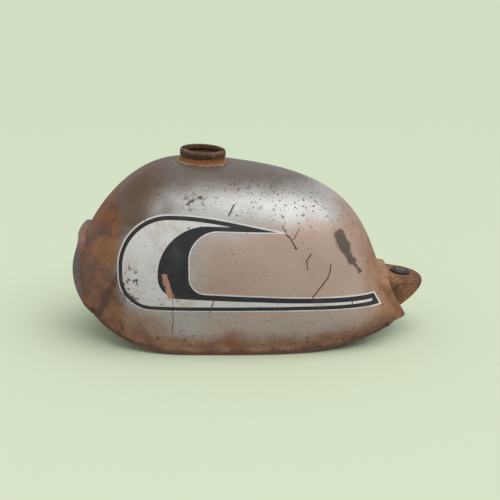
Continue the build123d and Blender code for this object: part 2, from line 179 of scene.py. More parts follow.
def meridian(angle, out):
    """Control points of the side curve: neck hole to widest line, and widest line to seam."""
    slope = cos(radians(angle)) * tan(NECK_LEAN)
    seam_radius = outline_radius(angle, TUCK)
    sole = sole_at(NECK_X - seam_radius * cos(radians(angle)))
    hole = (HOLE_R, NECK_Z + HOLE_R * slope + out)
    belt = (outline_radius(angle, (0, 0, 0)) + out, mix(BELT_Z, angle))
    seam = (seam_radius + out, sole + SEAM_LIP)
    run = mix(CROWN, angle) * (belt[0] - hole[0])
    rise = mix(CHEEK, angle) * (hole[1] - belt[1])
    drop = TUCK_FULLNESS * (belt[1] - seam[1])
    crown = (hole[0] + run, hole[1] + run * slope)
    cheek = (belt[0] - mix(RAKE, angle), belt[1] + rise)
    tuck = (belt[0] + mix(RAKE, angle) * drop / rise, belt[1] - drop)
    return [hole, crown, cheek, belt], [belt, tuck, seam]


def bezier(points, t):
    """Point at t, from 0 to 1, of the Bezier curve with these control points."""
    while len(points) > 1:
        points = [
            (a[0] + (b[0] - a[0]) * t, a[1] + (b[1] - a[1]) * t) for a, b in zip(points, points[1:])
        ]
    return points[0]


def side_curve(angle, out, upper_steps=56, lower_steps=20):
    """Points of the side curve from the neck hole down to the seam."""
    upper, lower = meridian(angle, out)
    curve = [bezier(upper, i / upper_steps) for i in range(upper_steps)]
    return curve + [bezier(lower, i / lower_steps) for i in range(lower_steps + 1)]


def seam_lip(curve, steps=4):
    """Points straight down from the end of a side curve, as deep as the seam."""
    r, z = curve[-1]
    return [(r, z - SEAM_LIP * i / steps) for i in range(1, steps + 1)]


def skin_section(angle):
    """Section of the pressed sheet with its seam lip."""
    outer = side_curve(angle, 0)
    inner = side_curve(angle, -SHEET)
    return outer + seam_lip(outer) + seam_lip(inner)[::-1] + inner[::-1]


def edge_section(angle):
    """Zone of the turned-out edges of the tunnel mouths."""
    outer = side_curve(angle, SEAM_LIP)
    inner = side_curve(angle, -SHEET / 2)
    low = outer[-1][1] - SEAM_LIP + SHEET / 2
    foot = [(outline_radius(angle, TUCK) + SHEET, low), (inner[-1][0], low)]
    return outer + foot + inner[::-1]


def film_section(angle):
    """Section of the stripe's film, just clear of the skin."""
    return side_curve(angle, FILM_GAP + FILM) + side_curve(angle, FILM_GAP)[::-1]


# ---------------------------------------------------------------- making meshes
def linked(name, data):
    """New object in the scene."""
    obj = bpy.data.objects.new(name, data)
    bpy.context.scene.collection.objects.link(obj)
    return obj


def evaluated_mesh(obj):
    """The object's mesh as its modifiers leave it."""
    bpy.context.view_layer.update()
    return bpy.data.meshes.new_from_object(obj.evaluated_get(bpy.context.evaluated_depsgraph_get()))


def new_piece(name, bm):
    mesh = bpy.data.meshes.new(name)
    bm.to_mesh(mesh)
    bm.free()
    return linked(name, mesh)


def lofted(name, section, first, last, step=1.0):
    """Closed solid through a section at each angle round the neck."""
    bm = bmesh.new()
    rows = []
    for i in range(round((last - first) / step) + 1):
        angle = first + i * step
        c, s = cos(radians(angle)), sin(radians(angle))
        rows.append([bm.verts.new((NECK_X - r * c, -r * s, z)) for r, z in section(angle)])
    count = len(rows[0])
    for near, far in zip(rows, rows[1:]):
        for i in range(count):
            j = (i + 1) % count
            bm.faces.new((near[i], near[j], far[j], far[i]))
    bm.faces.new(rows[0][::-1])
    bm.faces.new(rows[-1])
    bmesh.ops.recalc_face_normals(bm, faces=bm.faces)
    return new_piece(name, bm)


def prism(name, outline, sweep):
    """Solid swept from a closed outline of 3-D points along a vector."""
    bm = bmesh.new()
    near = [bm.verts.new(p) for p in outline]
    far = [bm.verts.new(p + sweep) for p in outline]
    for i in range(len(near)):
        j = (i + 1) % len(near)
        bm.faces.new((near[i], near[j], far[j], far[i]))
    bm.faces.new(near[::-1])
    bm.faces.new(far)
    bmesh.ops.recalc_face_normals(bm, faces=bm.faces)
    return new_piece(name, bm)


def arc(cx, cy, radius, first, last, steps=12):
    """Points of an arc between two angles in degrees."""
    turns = [radians(first + (last - first) * i / steps) for i in range(steps + 1)]
    return [(cx + radius * cos(a), cy + radius * sin(a)) for a in turns]


def tunnel_block(grow):
    """Solid that fills the tunnel, grown past the outer face of the inner pressing."""
    half, corner = TUNNEL_HALF + grow, TUNNEL_CORNER + grow
    top = arc(half - corner, grow - corner, corner, 0, 90)
    outline = top + [(-x, y) for x, y in top[::-1]] + [(-half, -TUNNEL_DEPTH), (half, -TUNNEL_DEPTH)]
    up = Vector((sin(TUNNEL_SLOPE), 0, cos(TUNNEL_SLOPE)))
    along = Vector((-cos(TUNNEL_SLOPE), 0, sin(TUNNEL_SLOPE)))
    start = TUNNEL_REAR - along * TUNNEL_LENGTH
    points = [start + Vector((0, -x, 0)) + up * y for x, y in outline]
    return prism("tunnel_block", points, along * 2 * TUNNEL_LENGTH)


def boolean(piece, cutter, operation):
    """Applies a boolean to the piece's mesh and removes the cutter."""
    modifier = piece.modifiers.new("cut", "BOOLEAN")
    modifier.operation = operation
    modifier.solver = "EXACT"
    modifier.object = cutter
    mesh = evaluated_mesh(piece)
    piece.modifiers.remove(modifier)
    old = piece.data
    piece.data = mesh
    bpy.data.meshes.remove(old)
    bpy.data.objects.remove(cutter)


def joined(piece, other):
    """Adds another piece's mesh to the piece."""
    bm = bmesh.new()
    bm.from_mesh(piece.data)
    bm.from_mesh(other.data)
    bm.to_mesh(piece.data)
    bm.free()
    bpy.data.objects.remove(other)


def mirrored(piece):
    """Turns a left piece into a right one."""
    piece.data.transform(Matrix.Scale(-1, 4, (0, 1, 0)))
    piece.data.flip_normals()


def smoothed(piece, angle=38):
    """Smooth shading, with edges that turn by more than the angle kept sharp."""
    piece.data.shade_smooth()
    piece.data.set_sharp_from_angle(angle=radians(angle))


def put_value(piece, name, value_at):
    """Stores a number on each vertex, worked out from its place."""
    layer = piece.data.attributes.new(name, "FLOAT", "POINT")
    for vertex, item in zip(piece.data.vertices, layer.data):
        item.value = value_at(vertex.co)


def dented(piece, dents):
    """Presses round dents into the skin."""
    for vertex in piece.data.vertices:
        for centre, radius, depth in dents:
            gap = (vertex.co - Vector(centre)).length
            if gap < DENT_SPREAD * radius:
                way = DENT_AIM - vertex.co
                inwards = Vector((0, way.y, way.z / DENT_FLATNESS)).normalized()
                vertex.co += inwards * depth * exp(-((gap / radius) ** 2))


def finished(piece, material=None, node=None):
    """Puts a piece on the tank's one body, with its material and the CAD node that it stands for."""
    if material:
        piece.data.materials.append(material)
    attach(piece, "root")
    if node:
        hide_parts(node)


# ---------------------------------------------------------------- node shorthand
class Finish:
    """A material with its shader, and short calls that add pattern nodes to it."""

    def __init__(self, name, roughness, metallic=0.0, coat=0.0):
        self.material = bpy.data.materials.new(name)
        self.material.use_nodes = True
        self.tree = self.material.node_tree
        self.shader = self.tree.nodes["Principled BSDF"]
        self.shader.inputs["Roughness"].default_value = roughness
        self.shader.inputs["Metallic"].default_value = metallic
        self.shader.inputs["Coat Weight"].default_value = coat
        self.place = self.tree.nodes.new("ShaderNodeTexCoord").outputs["Object"]
        split = self.tree.nodes.new("ShaderNodeSeparateXYZ")
        self.tree.links.new(self.place, split.inputs[0])
        self.x, self.y, self.z = split.outputs

    def plug(self, value, socket):
        """Links a socket's output, or sets a plain number or colour."""
        if isinstance(value, bpy.types.NodeSocket):
            self.tree.links.new(value, socket)
        else:
            socket.default_value = value

    def math(self, operation, a, b=0.0):
        node = self.tree.nodes.new("ShaderNodeMath")
        node.operation = operation
        self.plug(a, node.inputs[0])
        self.plug(b, node.inputs[1])
        return node.outputs[0]

    def times(self, *values):
        total = values[0]
        for value in values[1:]:
            total = self.math("MULTIPLY", total, value)
        return total

    def plus(self, a, b):
        return self.math("ADD", a, b)

    def either(self, *values):
        """The largest of the values."""
        total = values[0]
        for value in values[1:]:
            total = self.math("MAXIMUM", total, value)
        return total

    def ramp(self, value, low, high):
        """0 at low and 1 at high, eased. low may be above high."""
        node = self.tree.nodes.new("ShaderNodeMapRange")
        node.interpolation_type = "SMOOTHSTEP"
        self.plug(value, node.inputs["Value"])
        rising = low < high
        node.inputs["From Min"].default_value = low if rising else high
        node.inputs["From Max"].default_value = high if rising else low
        node.inputs["To Min"].default_value = 0.0 if rising else 1.0
        node.inputs["To Max"].default_value = 1.0 if rising else 0.0
        return node.outputs["Result"]

    def noise(self, scale, detail=5.0, stretch=(1, 1, 1), warp=0.0, seed=0.0):
        mapping = self.tree.nodes.new("ShaderNodeMapping")
        self.tree.links.new(self.place, mapping.inputs["Vector"])
        mapping.inputs["Scale"].default_value = stretch
        mapping.inputs["Location"].default_value = (seed, seed * 0.7, seed * 1.3)
        node = self.tree.nodes.new("ShaderNodeTexNoise")
        self.tree.links.new(mapping.outputs[0], node.inputs["Vector"])
        node.inputs["Scale"].default_value = scale
        node.inputs["Detail"].default_value = detail
        node.inputs["Roughness"].default_value = 0.6
        node.inputs["Distortion"].default_value = warp
        return node.outputs["Fac"]

    def spot(self, x, z, radius_x, radius_z, waviness=0.5):
        """1 in a soft-edged patch seen from the side, 0 outside."""
        dx = self.times(self.plus(self.x, -x), 1 / radius_x)
        dz = self.times(self.plus(self.z, -z), 1 / radius_z)
        reach = self.plus(self.times(dx, dx), self.times(dz, dz))
        return self.ramp(self.plus(reach, self.times(self.noise(60), waviness)), 1.5, 0.7)

    def stroke(self, start, end, width, waviness=1.2 * MM):
        """1 along a scratch from start to end, each x and z seen from the left side."""
        (ax, az), (bx, bz) = start, end
        run_x, run_z = bx - ax, bz - az
        length = run_x**2 + run_z**2
        wave = self.times(self.plus(self.noise(130, seed=ax * 40), -0.5), waviness * 2)
        from_x = self.plus(self.plus(self.x, -ax), wave)
        from_z = self.plus(self.plus(self.z, -az), wave)
        along = self.plus(self.times(from_x, run_x / length), self.times(from_z, run_z / length))
        along = self.math("MINIMUM", self.math("MAXIMUM", along, 0.0), 1.0)
        gap_x = self.math("SUBTRACT", from_x, self.times(along, run_x))
        gap_z = self.math("SUBTRACT", from_z, self.times(along, run_z))
        gap = self.math("SQRT", self.plus(self.times(gap_x, gap_x), self.times(gap_z, gap_z)))
        return self.times(self.ramp(gap, width, width * 0.5), self.ramp(self.y, 0.0, -0.01))

    def attribute(self, name):
        node = self.tree.nodes.new("ShaderNodeAttribute")
        node.attribute_name = name
        return node.outputs["Fac"]

    def blend(self, factor, first, second):
        """The first colour at 0 and the second at 1."""
        node = self.tree.nodes.new("ShaderNodeMix")
        node.data_type = "RGBA"
        self.plug(factor, node.inputs["Factor"])
        for value, key in ((first, 6), (second, 7)):  # the node's two colour inputs
            self.plug(value if isinstance(value, bpy.types.NodeSocket) else (*value, 1), node.inputs[key])
        return node.outputs[2]

    def level(self, factor, first, second):
        """Number between two, by the factor."""
        return self.plus(self.times(factor, second - first), first)

    def rust_marks(self, mottle):
        """Colour of bare rust in pits, chips and scratches."""
        return self.blend(self.ramp(mottle, 0.4, 0.6), DARK_RUST, BROWN_RUST)

    def colour(self, value):
        self.plug(value, self.shader.inputs["Base Color"])

    def rough(self, value):
        self.plug(value, self.shader.inputs["Roughness"])

    def metal(self, value):
        self.plug(value, self.shader.inputs["Metallic"])

    def relief(self, height, depth):
        """Bump from a pattern, with the depth that a value of 1 stands for."""
        node = self.tree.nodes.new("ShaderNodeBump")
        node.inputs["Distance"].default_value = depth
        node.inputs["Strength"].default_value = 1.0
        self.plug(height, node.inputs["Height"])
        self.tree.links.new(node.outputs[0], self.shader.inputs["Normal"])


# ---------------------------------------------------------------- colours
SILVER_LIGHT = (0.60, 0.59, 0.57)
SILVER_DULL = (0.43, 0.42, 0.40)
SILVER_GRAIN = (0.28, 0.28, 0.27)
DUSTY_SILVER = (0.50, 0.47, 0.42)
# painted shade: dark browns that stand in for the shade over the top and its front shoulder
PAINTED_TOP_SHADE = (0.105, 0.080, 0.056)
PAINTED_SHOULDER_SHADE = (0.115, 0.062, 0.032)
PEACH = (0.55, 0.355, 0.245)
TAN = (0.38, 0.20, 0.095)
OCHRE = (0.36, 0.165, 0.045)
ORANGE_RUST = (0.27, 0.095, 0.028)
BROWN_RUST = (0.125, 0.050, 0.020)
DARK_RUST = (0.055, 0.028, 0.020)
# plum: rust at the bottom seam, and painted shade down the front crease
PLUM_RUST_AND_SHADE = (0.12, 0.055, 0.040)
BARE_STEEL = (0.085, 0.063, 0.045)
BLUE_GREY = (0.16, 0.18, 0.19)
WHITE_PRINT = (0.72, 0.71, 0.68)
AGED_WHITE = (0.60, 0.55, 0.48)
BLACK_PRINT = (0.014, 0.014, 0.017)
GREYED_BLACK = (0.045, 0.042, 0.042)
COPPER = (0.50, 0.27, 0.18)
RUST_GRIME = (0.045, 0.028, 0.022)
RUST_DUST = (0.50, 0.27, 0.13)
RUST_BAND = (0.42, 0.20, 0.075)

# scratches on the left side through to the rust, each from x, z to x, z with its half width
SCRATCHES = (
    ((0.033, 0.139), (0.047, 0.117), 0.8 * MM),
    ((0.050, 0.136), (0.044, 0.126), 0.6 * MM),
    ((0.062, 0.111), (0.057, 0.104), 0.9 * MM),
    ((0.057, 0.104), (0.058, 0.096), 0.8 * MM),
    ((0.083, 0.099), (0.080, 0.086), 0.8 * MM),
    ((0.080, 0.086), (0.064, 0.067), 1.0 * MM),
    ((-0.016, 0.161), (-0.022, 0.151), 0.9 * MM),
    ((-0.078, 0.076), (-0.080, 0.028), 0.45 * MM),
    ((-0.035, 0.072), (-0.041, 0.052), 0.7 * MM),
)


def scratched(f):
    return f.either(*(f.stroke(start, end, width, 2 * MM) for start, end, width in SCRATCHES))


def paint_patterns(f):
    """Broad clouds, mottling, fine mottling and pits, alike in the paint and in the print over it."""
    clouds = f.noise(14, warp=0.6)
    mottle = f.noise(60, seed=3.1)
    fine = f.noise(190, detail=4, seed=1.7)
    pits = f.noise(300, detail=3, seed=7.7)
    return clouds, mottle, fine, pits


def stains_and_top_shade(f, colour, drift, above, high):
    """Peach stain below the bright band, and painted shade in brown over the top and down its front
    shoulder.
    """
    peach = f.times(f.ramp(f.plus(f.z, f.times(drift, 0.05)), 0.150, 0.128), f.ramp(f.x, -0.075, -0.03))
    colour = f.blend(f.times(peach, 0.72), colour, PEACH)
    low_band = f.times(f.ramp(f.plus(above, f.times(drift, 0.04)), 0.056, 0.046), f.ramp(f.x, 0.12, 0.07))
    colour = f.blend(f.times(low_band, 0.55), colour, DUSTY_SILVER)
    # painted shade: the top is painted dark brown
    colour = f.blend(f.times(high, 0.88), colour, PAINTED_TOP_SHADE)
    # painted shade: the front shoulder is painted a darker brown
    shoulder = f.times(f.ramp(f.plus(f.x, f.times(drift, 0.05)), -0.072, -0.108), f.ramp(f.z, 0.118, 0.142))
    return f.blend(f.times(shoulder, 0.92), colour, PAINTED_SHOULDER_SHADE)


def rusted_ends(f, colour, mottle, front, rear):
    """Rust all over the front end, with a yellow spot, and at the rear edge."""
    patchy = f.ramp(mottle, 0.38, 0.62)
    colour = f.blend(f.times(front, 0.90), colour, f.blend(patchy, BROWN_RUST, ORANGE_RUST))
    yellow = f.spot(-0.144, 0.110, 0.018, 0.017)
    colour = f.blend(f.times(yellow, 0.45), colour, OCHRE)
    return f.blend(f.times(rear, 0.85), colour, f.blend(patchy, TAN, ORANGE_RUST))


def rusted_bottom(f, colour, mottle, bottom, near_seam):
    """Rust along the bottom, darker at the seam."""
    rust_coat = f.blend(f.ramp(mottle, 0.36, 0.60), ORANGE_RUST, TAN)
    colour = f.blend(f.times(bottom, 0.85), colour, rust_coat)
    return f.blend(f.times(near_seam, 0.85), colour, PLUM_RUST_AND_SHADE)


def front_crease(f, colour, mottle):
    """Painted shade down the crease at the front left, and bare grey at the front edge."""
    # painted shade: a dark plum streak down the crease
    crease_shade = f.either(
        f.stroke((-0.129, 0.100), (-0.145, 0.070), 4.2 * MM, 5 * MM),
        f.stroke((-0.145, 0.070), (-0.162, 0.034), 5.0 * MM, 5 * MM),
    )
    colour = f.blend(f.times(crease_shade, 0.75), colour, PLUM_RUST_AND_SHADE)
    edge = f.times(f.ramp(f.x, -0.176, -0.182), f.ramp(mottle, 0.62, 0.45))
    return f.blend(f.times(edge, 0.75), colour, BLUE_GREY)


def worn_leaf(f):
    """Leaf-shaped patch of bare steel on the left side, towards the rear."""
    return f.either(
        f.stroke((0.091, 0.125), (0.098, 0.112), 7.5 * MM, 4 * MM),
        f.stroke((0.098, 0.112), (0.106, 0.098), 5.0 * MM, 4 * MM),
        f.stroke((0.106, 0.098), (0.114, 0.087), 2.2 * MM, 4 * MM),
    )


def paint_pits(f, clouds, mottle, fine, pits, above):
    """Blisters over the upper half, a cluster by the neck, pits along the bottom and the scratches."""
    speckled = f.ramp(f.plus(f.z, f.times(f.x, 0.18)), 0.140, 0.152)
    crowded = f.either(f.times(speckled, f.ramp(clouds, 0.40, 0.55)), 0.35)
    blisters = f.times(f.ramp(pits, 0.615, 0.65), crowded)
    cluster = f.times(f.spot(-0.054, 0.163, 0.019, 0.008), f.ramp(fine, 0.54, 0.60), f.ramp(f.y, 0, -0.01))
    low_pits = f.times(f.ramp(fine, 0.57, 0.63), f.ramp(above, 0.046, 0.012), f.ramp(mottle, 0.44, 0.60))
    return f.either(f.times(blisters, 0.9), cluster, low_pits, scratched(f))


def silver_paint():
    """Worn metallic silver with rust stains, blisters, pits and scratches."""
    f = Finish("worn_silver_paint", 0.4)
    clouds, mottle, fine, pits = paint_patterns(f)
    grain = f.noise(900, detail=2)
    drift = f.plus(clouds, -0.5)
    above = f.attribute("above_seam")

    # high: the top, which is given painted shade and less shine
    high = f.ramp(f.plus(f.z, f.times(drift, 0.05)), 0.158, 0.184)
    front = f.ramp(f.plus(f.x, f.times(drift, 0.07)), -0.118, -0.140)
    rear = f.ramp(f.plus(f.x, f.plus(f.times(drift, 0.06), f.times(f.z, 0.35))), 0.134, 0.166)
    low_front = f.times(f.ramp(f.plus(f.x, f.times(drift, 0.08)), -0.05, -0.12), f.ramp(f.z, 0.070, 0.035))
    bottom = f.either(f.ramp(f.plus(above, f.times(drift, 0.04)), 0.036, 0.014), low_front)
    near_seam = f.ramp(f.plus(above, f.times(mottle, 0.010)), 0.013, 0.008)
    leaf = worn_leaf(f)
    rust = paint_pits(f, clouds, mottle, fine, pits, above)

    colour = f.blend(f.ramp(clouds, 0.35, 0.65), SILVER_DULL, SILVER_LIGHT)
    colour = f.blend(f.times(f.ramp(grain, 0.35, 0.65), 0.2), colour, SILVER_GRAIN)
    colour = stains_and_top_shade(f, colour, drift, above, high)
    colour = rusted_ends(f, colour, mottle, front, rear)
    colour = rusted_bottom(f, colour, mottle, bottom, near_seam)
    colour = front_crease(f, colour, mottle)
    colour = f.blend(f.times(leaf, 0.92), colour, BARE_STEEL)
    f.colour(f.blend(f.times(rust, 0.92), colour, f.rust_marks(mottle)))

    rusty = f.either(rust, f.times(bottom, 0.7), f.times(front, 0.75), f.times(rear, 0.5), near_seam)
    dull = f.either(rusty, leaf, f.times(high, 0.35))
    f.rough(f.level(dull, 0.30, 0.66))
    f.metal(f.level(dull, 0.30, 0.08))
    f.relief(f.plus(f.times(rust, -0.6), f.plus(f.times(mottle, 0.9), f.times(grain, 0.12))), 0.5 * MM)
    return f.material


def stripe_print():
    """White and black print with bare keylines, chipped through to the steel."""
    f = Finish("chipped_stripe_print", 0.34, coat=0.2)
    outside = f.attribute("from_outside")
    inside = f.attribute("from_inside")
    band = f.attribute("in_band")
    soft = 0.35 * MM  # softness of the print's edges
    in_keylines = f.times(f.ramp(outside, KEYLINE, KEYLINE + soft), f.ramp(inside, KEYLINE, KEYLINE + soft))
    line = f.times(in_keylines, f.ramp(outside, OUTLINE + soft, OUTLINE))
    broad = f.times(in_keylines, f.ramp(band, 0, soft))
    clouds, mottle, fine, pits = paint_patterns(f)
    white = f.blend(f.ramp(mottle, 0.40, 0.75), WHITE_PRINT, AGED_WHITE)
    black = f.blend(f.ramp(mottle, 0.45, 0.78), BLACK_PRINT, GREYED_BLACK)
    colour = f.blend(f.math("MINIMUM", f.plus(line, broad), 1.0), white, black)
    chips = f.times(f.ramp(pits, 0.635, 0.67), f.either(f.ramp(clouds, 0.46, 0.60), 0.4))
    dirt = f.times(f.spot(-0.122, 0.080, 0.012, 0.022), f.ramp(fine, 0.53, 0.60))
    low = f.times(f.ramp(fine, 0.60, 0.66), f.ramp(f.z, 0.078, 0.050), f.ramp(mottle, 0.44, 0.60))
    copper = f.stroke((-0.086, 0.092), (-0.081, 0.070), 4.0 * MM, 4 * MM)
    colour = f.blend(f.times(copper, 0.95), colour, COPPER)
    worn = f.either(chips, low, dirt, scratched(f))
    f.colour(f.blend(f.times(worn, 0.9), colour, f.rust_marks(mottle)))
    f.rough(f.level(worn, 0.34, 0.75))
    f.relief(f.plus(f.times(worn, -0.6), f.times(mottle, 0.5)), 0.4 * MM)
    return f.material


def rusted_steel(name, dark, light, split_z=None):
    """Rusted steel, lighter below a height where one is given."""
    f = Finish(name, 0.75, metallic=0.15)
    clouds = f.noise(55, warp=0.5)
    grain = f.noise(480, detail=4, seed=1.4)
    colour = f.blend(f.ramp(clouds, 0.35, 0.65), dark, light)
    if split_z is not None:
        low = f.ramp(f.plus(f.z, f.times(clouds, 1.5 * MM)), split_z + 1.2 * MM, split_z)
        colour = f.blend(f.times(low, 0.85), colour, RUST_BAND)
    colour = f.blend(f.times(f.ramp(grain, 0.50, 0.66), 0.6), colour, RUST_GRIME)
    f.colour(f.blend(f.times(f.ramp(grain, 0.46, 0.34), 0.35), colour, RUST_DUST))
    f.rough(f.level(clouds, 0.55, 0.9))
    f.relief(f.plus(grain, clouds), 0.35 * MM)
    return f.material


def inner_steel():
    """Bare pressing with thin overspray and rust."""
    f = Finish("oversprayed_steel", 0.6, metallic=0.3)
    clouds = f.noise(30, warp=0.5)
    grain = f.noise(420, detail=4, seed=2.0)
    colour = f.blend(f.ramp(clouds, 0.38, 0.62), (0.30, 0.29, 0.27), (0.20, 0.10, 0.055))
    f.colour(f.blend(f.times(f.ramp(grain, 0.55, 0.68), 0.7), colour, DARK_RUST))
    f.relief(grain, 0.3 * MM)
    return f.material


def aged_rubber():
    """Dusty black rubber."""
    f = Finish("aged_rubber", 0.62)
    clouds = f.noise(160)
    dust = f.noise(700, detail=3, seed=4.0)
    colour = f.blend(f.ramp(clouds, 0.4, 0.7), (0.016, 0.015, 0.015), (0.05, 0.045, 0.04))
    f.colour(f.blend(f.times(f.ramp(dust, 0.58, 0.72), 0.5), colour, (0.16, 0.12, 0.09)))
    f.rough(f.level(clouds, 0.5, 0.8))
    f.relief(dust, 0.15 * MM)
    return f.material


def dull_plate():
    """Plated steel, dull and spotted with rust."""
    f = Finish("dull_plated_steel", 0.4, metallic=0.85)
    clouds = f.noise(220)
    f.colour(f.blend(f.ramp(clouds, 0.5, 0.68), (0.38, 0.38, 0.38), (0.16, 0.09, 0.05)))
    f.rough(f.level(clouds, 0.3, 0.65))
    f.relief(clouds, 0.1 * MM)
    return f.material


def weld_steel():
    """Rusty weld metal."""
    f = Finish("rusty_weld", 0.6, metallic=0.5)
    clouds = f.noise(150)
    f.colour(f.blend(f.ramp(clouds, 0.4, 0.6), (0.42, 0.36, 0.30), (0.20, 0.09, 0.04)))
    f.relief(f.noise(600), 0.2 * MM)
    return f.material


NECK_BAND_Z = NECK_Z + 6.6 * MM  # the neck is a lighter rust below this

SILVER = silver_paint()
PRINT = stripe_print()
NECK_STEEL = rusted_steel("neck_rust", (0.075, 0.042, 0.028), (0.17, 0.085, 0.045), NECK_BAND_Z)
BRACKET_STEEL = rusted_steel("bracket_rust", (0.14, 0.062, 0.030), (0.36, 0.17, 0.075))
INNER = inner_steel()
RUBBER = aged_rubber()
PLATE = dull_plate()
WELD = weld_steel()


# ---------------------------------------------------------------- pieces
def above_seam(place):
    """Height of a point above the line of the bottom."""
    return place.z - sole_at(place.x)


def outer_pressing(side, dents):
    """Half of the skin with its seam lip and the turned-out edges of the tunnel mouths."""
    skin = lofted("skin_" + side, skin_section, 0, 180)
    boolean(skin, tunnel_block(SEAM_GAP), "DIFFERENCE")
    for first in (-MOUTH_ANGLE, 180 - MOUTH_ANGLE):
        edge = lofted("edge", edge_section, first, first + 2 * MOUTH_ANGLE, step=2.0)
        boolean(edge, tunnel_block(SEAM_GAP + SHEET), "INTERSECT")
        boolean(edge, tunnel_block(SEAM_GAP), "DIFFERENCE")
        middle = [Vector((x, 0, z)) for x, z in ((-1, -1), (1, -1), (1, 1), (-1, 1))]
        boolean(edge, prism("left_half", middle, Vector((0, -1, 0))), "INTERSECT")
        joined(skin, edge)
    if side == "right":
        mirrored(skin)
    dented(skin, dents)
    put_value(skin, "above_seam", above_seam)
    smoothed(skin)
    finished(skin, SILVER, "shell_" + side)


def outer_path():
    """Outer edge of the stripe seen from the side, from the tip round the front to the tail."""
    top, low, front = STRIPE_TOP_Z, STRIPE_BOTTOM_Z, STRIPE_FRONT_X
    shoulder = Vector((STRIPE_SHOULDER_X, top))
    eased = (STRIPE_SHOULDER_X - STRIPE_SHOULDER_EASE, top)
    taper = [tuple((shoulder + STRIPE_TIP) / 2), tuple(shoulder), eased]
    path = [tuple(STRIPE_TIP)] + [bezier(taper, i / 12) for i in range(13)]
    path += arc(front + STRIPE_TOP_CORNER, top - STRIPE_TOP_CORNER, STRIPE_TOP_CORNER, 90, 180, 24)
    path += arc(front + STRIPE_BOTTOM_CORNER, low + STRIPE_BOTTOM_CORNER, STRIPE_BOTTOM_CORNER, 180, 270, 18)
    return path + [(STRIPE_KNEE_X, low), tuple(STRIPE_TAIL_LOW), tuple(STRIPE_TAIL_HIGH)]


def inner_path(front, limb, top_corner, bottom_corner):
    """Edge inside the hook, moved forwards to front and out into the limbs, from tail to tip."""
    low, top = INNER_BOTTOM_Z - limb, INNER_TOP_Z + limb
    path = [(STRIPE_TAIL_HIGH.x, STRIPE_TAIL_HIGH.y - limb)]
    path += arc(front + bottom_corner, low + bottom_corner, bottom_corner, 270, 180, 14)
    path += arc(front + top_corner, top - top_corner, top_corner, 180, 90, 18)
    return path + [(STRIPE_TIP.x, STRIPE_TIP.y + limb)]


def distance_to(path, x, z):
    """Distance from a point to a path of straight runs, below 0 on the path's right-hand side."""
    best, sign = 1.0, 1.0
    for (ax, az), (bx, bz) in zip(path, path[1:]):
        run = (bx - ax, bz - az)
        along = ((x - ax) * run[0] + (z - az) * run[1]) / (run[0] ** 2 + run[1] ** 2)
        along = min(max(along, 0.0), 1.0)
        gap = hypot(x - ax - along * run[0], z - az - along * run[1])
        if gap < best - 1e-9:
            best = gap
            sign = 1.0 if run[0] * (z - az) - run[1] * (x - ax) > 0 else -1.0
    return best * sign


def stripe(side, dents):
    """Film of the stripe, with the distances that its print is drawn from."""
    film = lofted("stripe_film_" + side, film_section, *FILM_ANGLES)
    inner = inner_path(INNER_X, 0, STRIPE_INNER_TOP_CORNER, STRIPE_INNER_BOTTOM_CORNER)
    outline = [Vector((x, -TUNNEL_HALF / 2, z)) for x, z in outer_path() + inner[1:-1]]
    boolean(film, prism("stripe_cutter", outline, Vector((0, -HALF_WIDTH, 0))), "INTERSECT")
    if side == "right":
        mirrored(film)
    outer = outer_path()
    band = inner_path(INNER_X - BAND_FRONT, BAND_LIMB, BAND_TOP_CORNER, BAND_BOTTOM_CORNER)
    put_value(film, "from_outside", lambda p: abs(distance_to(outer, p.x, p.z)))
    put_value(film, "from_inside", lambda p: abs(distance_to(inner, p.x, p.z)))
    put_value(film, "in_band", lambda p: -distance_to(band, p.x, p.z))
    dented(film, dents)
    smoothed(film)
    finished(film, PRINT, "stripe_" + side)


def smooth_copy(node, material, angle=32):
    """Copy of a CAD node with its doubles merged and its round faces smooth."""
    bm = bmesh.new()
    bm.from_mesh(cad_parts[node].data)
    bmesh.ops.remove_doubles(bm, verts=bm.verts, dist=0.01 * MM)
    piece = new_piece(node + "_piece", bm)
    smoothed(piece, angle)
    finished(piece, material, node)


